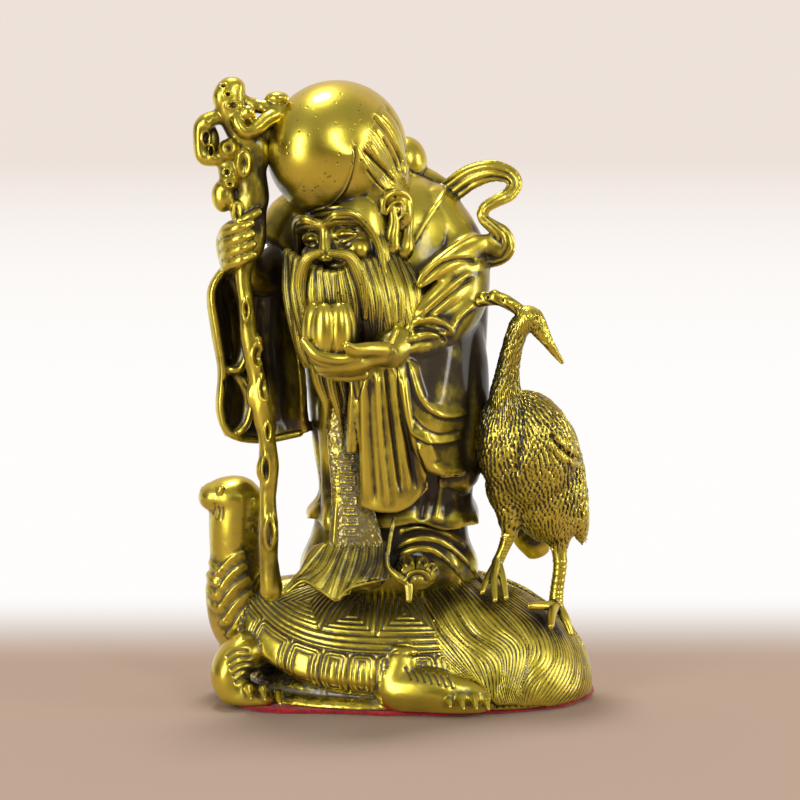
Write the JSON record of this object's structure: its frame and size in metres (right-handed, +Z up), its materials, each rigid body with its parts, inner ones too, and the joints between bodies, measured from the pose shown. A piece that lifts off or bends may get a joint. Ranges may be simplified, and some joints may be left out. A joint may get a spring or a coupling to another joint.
{
  "type": "shou lao figure",
  "caption": "Cast brass god of long life with staff and peach, standing on a long-tailed tortoise beside a crane, with a red felt pad underneath.",
  "frame": {"origin": "on the table under the middle of the tortoise, on the felt pad's underside", "axes": "+Z up, the figure faces -Y, the tortoise's head is towards -X and its tail towards +X"},
  "size_m": [0.158, 0.1111, 0.241],
  "materials": {
    "brass": "polished yellow-olive brass on the raised parts, dark brown patina in every recess",
    "red_felt": "matt red felt with a short nap"
  },
  "bodies": {
    "root": {"casting": "brass", "felt_pad": "red_felt"}
  },
  "joints": []
}
